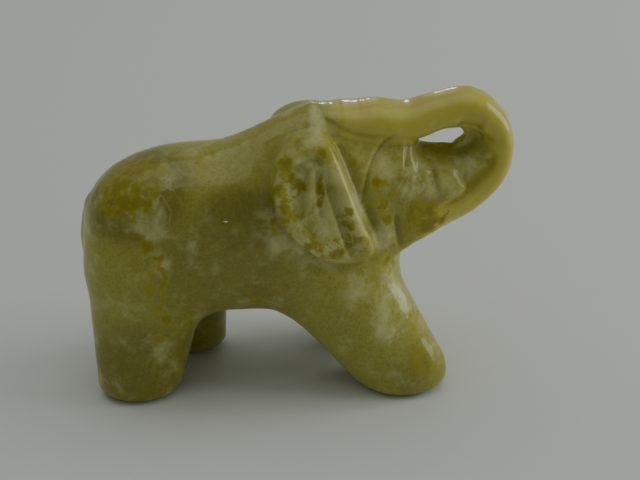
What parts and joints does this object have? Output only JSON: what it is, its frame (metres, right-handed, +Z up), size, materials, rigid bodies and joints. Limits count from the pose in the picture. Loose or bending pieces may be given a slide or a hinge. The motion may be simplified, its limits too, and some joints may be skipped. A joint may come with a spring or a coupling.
{
  "type": "elephant figurine",
  "caption": "Small carved and polished stone elephant in mid stride, head up, with its trunk curled back on to the forehead so that a slot stays open inside the curl.",
  "frame": {"origin": "on the ground, under the middle of the figure's bounding box", "axes": "+X from the rump towards the curl of the trunk, +Z up, -Y the side seen in the picture"},
  "size_m": [0.07, 0.027, 0.0493],
  "materials": {
    "serpentine": "polished, mottled grey-green and olive"
  },
  "bodies": {
    "root": {"elephant": "serpentine"}
  },
  "joints": []
}
